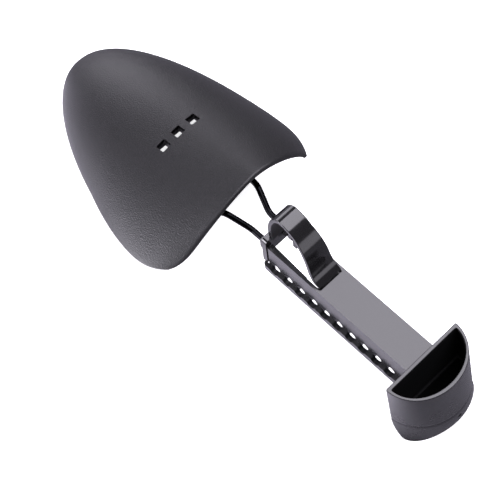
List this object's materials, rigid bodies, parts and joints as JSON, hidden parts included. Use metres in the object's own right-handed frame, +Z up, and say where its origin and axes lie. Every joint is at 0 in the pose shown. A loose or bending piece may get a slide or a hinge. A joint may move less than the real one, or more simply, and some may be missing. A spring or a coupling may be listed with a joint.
{
  "type": "shoe stretcher",
  "caption": "Adjustable shoe stretcher with a heel cup on a windowed channel bar, a sliding finger loop, sprung wire arms and a tipping toe shell for a left foot.",
  "frame": {"origin": "on the heel cup's foot, on the resting plane and in the bar's middle plane", "axes": "+X from the heel cup towards the toe, +Y to the wearer's left, +Z up"},
  "size_m": [0.2602, 0.0934, 0.0662],
  "materials": {
    "black_plastic": "smooth moulded black, satin gloss",
    "grained_plastic": "fine grained matte, charcoal",
    "steel_wire": "dark bright-drawn spring steel"
  },
  "bodies": {
    "heel": {"heel_bar": "black_plastic", "heel_cap": "black_plastic"},
    "slide": {"slider": "black_plastic", "wire_yoke": "steel_wire", "wire_keeper": "black_plastic"},
    "catch": {"catch_finger": "black_plastic"},
    "toe": {"toe_shell": "grained_plastic"}
  },
  "joints": [
    {"name": "length_slide", "type": "slide", "parent": "heel", "child": "slide", "axis": [1, 0, 0], "range_m": [0, 0.045]},
    {"name": "catch_bend", "type": "hinge", "parent": "slide", "child": "catch", "pos_m": [0.059, -0.0046, 0.026], "axis": [0, 0, -1], "range_deg": [0, 6]},
    {"name": "toe_tilt", "type": "hinge", "parent": "slide", "child": "toe", "pos_m": [0.136, 0, 0.0332], "axis": [0, 1, 0], "range_deg": [0, 25]}
  ]
}
